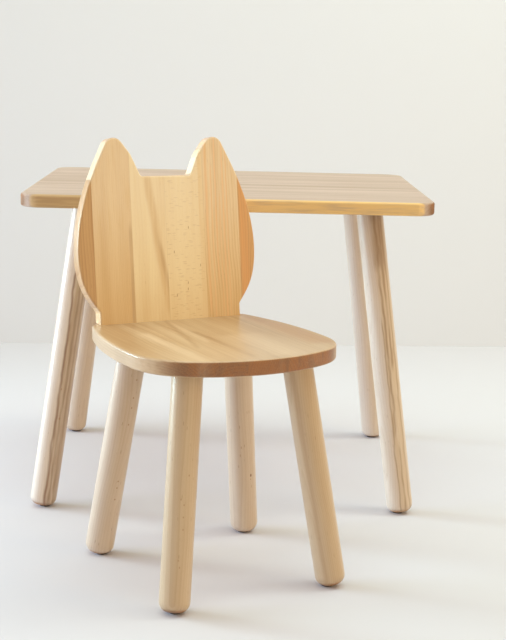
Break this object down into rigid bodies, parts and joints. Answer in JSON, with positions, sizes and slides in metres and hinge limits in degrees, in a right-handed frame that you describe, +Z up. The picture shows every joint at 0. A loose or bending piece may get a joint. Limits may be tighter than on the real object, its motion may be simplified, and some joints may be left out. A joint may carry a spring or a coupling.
{
  "type": "kids table and chair",
  "caption": "Low rectangular beech table on splayed round legs, with a small chair whose backrest is cut with two pointed ears.",
  "frame": {"origin": "middle of the set's footprint, on the floor", "axes": "+Z up; +Y from the chair to the table, square to the table's long edge; +X along the table's long edge"},
  "size_m": [0.6, 0.887, 0.5602],
  "materials": {
    "beech_table_top": "clear matt oil over edge-glued beech staves",
    "beech_table_legs": "clear matt oil on turned beech",
    "beech_seat": "clear satin oil over edge-glued beech staves",
    "beech_backrest": "clear satin oil over edge-glued beech staves",
    "beech_chair_legs": "clear matt oil on turned beech",
    "beech_dowels": "raw fluted beech",
    "zinc_plated_steel": "zinc plated",
    "dark_felt": "pressed felt"
  },
  "bodies": {
    "table": {"table_top_stave_1": "beech_table_top", "table_top_stave_2": "beech_table_top", "table_top_stave_3": "beech_table_top", "table_top_stave_4": "beech_table_top", "table_top_stave_5": "beech_table_top", "table_top_stave_6": "beech_table_top", "table_top_stave_7": "beech_table_top", "table_top_stave_8": "beech_table_top", "table_top_stave_9": "beech_table_top", "table_leg_front_left": "beech_table_legs", "table_leg_front_right": "beech_table_legs", "table_leg_rear_left": "beech_table_legs", "table_leg_rear_right": "beech_table_legs", "table_hanger_bolts": "zinc_plated_steel", "table_threaded_inserts": "zinc_plated_steel", "table_glides": "dark_felt"},
    "chair": {"seat_stave_1": "beech_seat", "seat_stave_2": "beech_seat", "seat_stave_3": "beech_seat", "seat_stave_4": "beech_seat", "seat_stave_5": "beech_seat", "backrest_stave_1": "beech_backrest", "backrest_stave_2": "beech_backrest", "backrest_stave_3": "beech_backrest", "backrest_stave_4": "beech_backrest", "backrest_stave_5": "beech_backrest", "backrest_stave_6": "beech_backrest", "backrest_screws": "zinc_plated_steel", "backrest_dowels": "beech_dowels", "chair_leg_front_left": "beech_chair_legs", "chair_leg_front_right": "beech_chair_legs", "chair_leg_rear_left": "beech_chair_legs", "chair_leg_rear_right": "beech_chair_legs", "chair_hanger_bolts": "zinc_plated_steel", "chair_threaded_inserts": "zinc_plated_steel", "chair_glides": "dark_felt"}
  },
  "joints": [
    {"name": "chair_pull_out", "type": "slide", "parent": "table", "child": "chair", "axis": [0, -1, 0], "range_m": [0, 0.45]}
  ]
}
